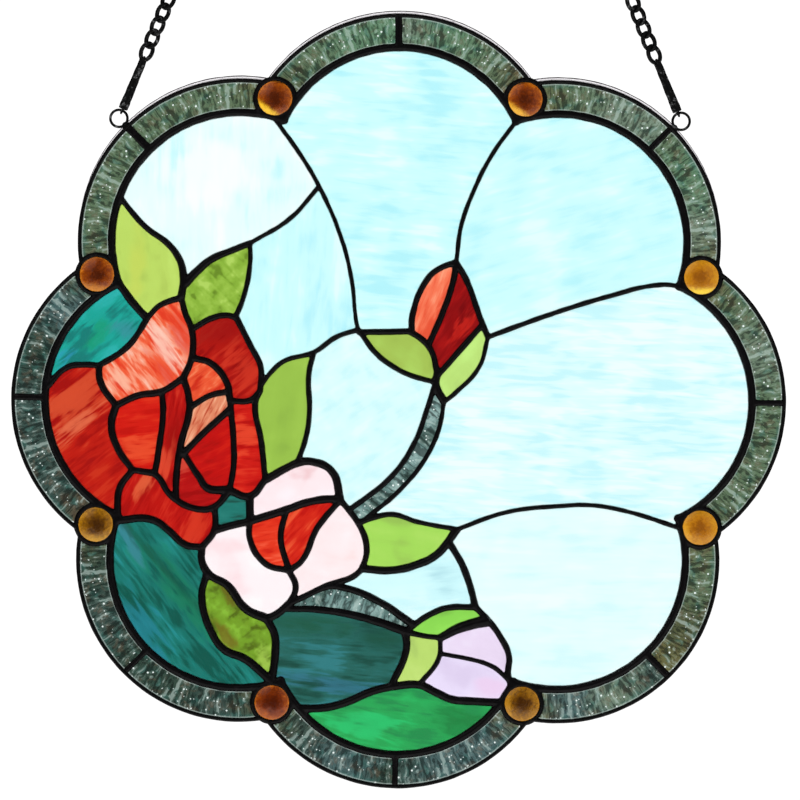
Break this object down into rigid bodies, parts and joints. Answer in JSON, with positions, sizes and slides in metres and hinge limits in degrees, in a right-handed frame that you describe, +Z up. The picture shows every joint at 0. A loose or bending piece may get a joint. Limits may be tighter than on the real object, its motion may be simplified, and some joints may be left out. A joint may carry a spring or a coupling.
{
  "type": "stained glass window",
  "caption": "Round hanging stained glass panel with a lobed edge, a rose, buds and leaves against a pale sky, jewels in the notches and two short chains to hang it by.",
  "frame": {"origin": "midway between the two places where the end rings of the chains hang on their hooks", "axes": "+Z up; the panel stands in the XZ plane and its front faces -Y; +X is to the right seen from the front"},
  "size_m": [0.4572, 0.014, 0.4877],
  "materials": {
    "sky_blue_glass": "pale cyan glass with cloudy white and a light ripple",
    "sky_pale_glass": "very pale cyan glass with a light ripple",
    "leaf_green_glass": "yellow green glass with darker streaks",
    "leaf_lime_glass": "bright lime glass, lightly rippled",
    "rose_red_glass": "deep red glass with lighter streaks",
    "rose_salmon_glass": "salmon and orange streaked glass",
    "foliage_teal_glass": "teal glass with green and blue streaks",
    "foliage_green_glass": "mid green glass with lighter patches",
    "petal_pink_glass": "white pink opal glass",
    "bud_violet_glass": "pale violet opal glass",
    "stem_grey_glass": "clear grey green glass, finely rippled",
    "border_green_glass": "dark grey green glass, rippled, with teal and brown patches",
    "jewel_amber_glass": "amber glass jewels, domed, darker in the middle; they are set in the solder lattice",
    "solder": "solder with black patina, semi-gloss",
    "came": "edge came with black patina and a silvery highlight",
    "hanger_metal": "blackened wire, semi-gloss"
  },
  "bodies": {
    "root": {"sky_upper_left": "sky_blue_glass", "sky_top": "sky_blue_glass", "sky_upper_right": "sky_blue_glass", "sky_right": "sky_pale_glass", "sky_lower_right": "sky_pale_glass", "sky_left_centre": "sky_blue_glass", "sky_centre": "sky_pale_glass", "sky_under_leaf": "sky_blue_glass", "leaf_upper_left": "leaf_green_glass", "leaf_above_rose": "leaf_green_glass", "leaf_beside_rose": "leaf_green_glass", "leaf_left_of_bud": "leaf_green_glass", "leaf_right_of_bud": "leaf_lime_glass", "leaf_right_of_pink": "leaf_lime_glass", "leaf_lower_left": "leaf_green_glass", "leaf_above_violet_bud": "leaf_lime_glass", "leaf_beside_violet_bud": "leaf_lime_glass", "rose_outer_left": "rose_red_glass", "rose_upper_left": "rose_salmon_glass", "rose_upper_right": "rose_red_glass", "rose_heart_top": "rose_red_glass", "rose_heart_fold": "rose_salmon_glass", "rose_inner_left": "rose_red_glass", "rose_inner_middle": "rose_red_glass", "rose_heart_right": "rose_red_glass", "rose_right": "rose_red_glass", "rose_heart_foot": "rose_red_glass", "rose_lower": "rose_red_glass", "foliage_upper_left": "foliage_teal_glass", "foliage_between_flowers": "foliage_teal_glass", "foliage_lower_left": "foliage_teal_glass", "foliage_bottom_dark": "foliage_teal_glass", "foliage_bottom_green": "foliage_green_glass", "pink_petal_top": "petal_pink_glass", "pink_petal_left": "petal_pink_glass", "pink_petal_right": "petal_pink_glass", "pink_heart_left": "rose_red_glass", "pink_heart_right": "rose_red_glass", "red_bud_light": "rose_salmon_glass", "red_bud_dark": "rose_red_glass", "violet_bud_upper": "bud_violet_glass", "violet_bud_lower": "bud_violet_glass", "stem_of_red_bud": "stem_grey_glass", "stem_of_violet_bud": "stem_grey_glass", "border_glass_top": "border_green_glass", "border_glass_upper_left": "border_green_glass", "border_glass_left": "border_green_glass", "border_glass_lower_left": "border_green_glass", "border_glass_bottom": "border_green_glass", "border_glass_lower_right": "border_green_glass", "border_glass_right": "border_green_glass", "border_glass_upper_right": "border_green_glass", "lead_lattice": "solder", "edge_came": "came", "edge_ring_left": "hanger_metal", "rod_left": "hanger_metal", "chain_left": "hanger_metal", "edge_ring_right": "hanger_metal", "rod_right": "hanger_metal", "chain_right": "hanger_metal"}
  },
  "joints": []
}
